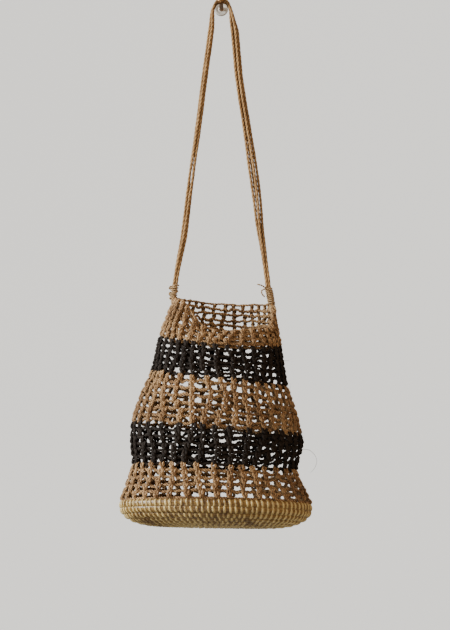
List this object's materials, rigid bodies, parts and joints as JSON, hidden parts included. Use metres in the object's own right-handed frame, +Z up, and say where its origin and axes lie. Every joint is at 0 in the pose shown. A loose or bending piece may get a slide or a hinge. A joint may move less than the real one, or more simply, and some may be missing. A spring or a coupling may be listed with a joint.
{
  "type": "string bag on a wall peg",
  "caption": "Looped plant-fibre string bag with dark bands and a stiff oval base, hung by its stranded strap from a small wall peg.",
  "frame": {"origin": "on the wall, at the centre of the back face of the peg's flange", "axes": "+Z up, +Y into the wall, +X to the right for someone who faces the wall; the bag hangs at negative Y"},
  "size_m": [0.2569, 0.1622, 0.7606],
  "materials": {
    "natural_yarn": "dry hand-spun plant fibre",
    "dark_yarn": "dyed hand-spun plant fibre",
    "golden_fibre": "glossy flat plant fibre in plump stitches",
    "peg_metal": "aged, softly polished"
  },
  "bodies": {
    "root": {"net_body": "natural_yarn", "woven_base": "golden_fibre", "left_binding": "natural_yarn", "right_binding": "natural_yarn", "strap_strand_1": "natural_yarn", "strap_strand_2": "natural_yarn", "strap_strand_3": "natural_yarn", "strap_strand_4": "natural_yarn", "wall_peg": "peg_metal"}
  },
  "joints": []
}
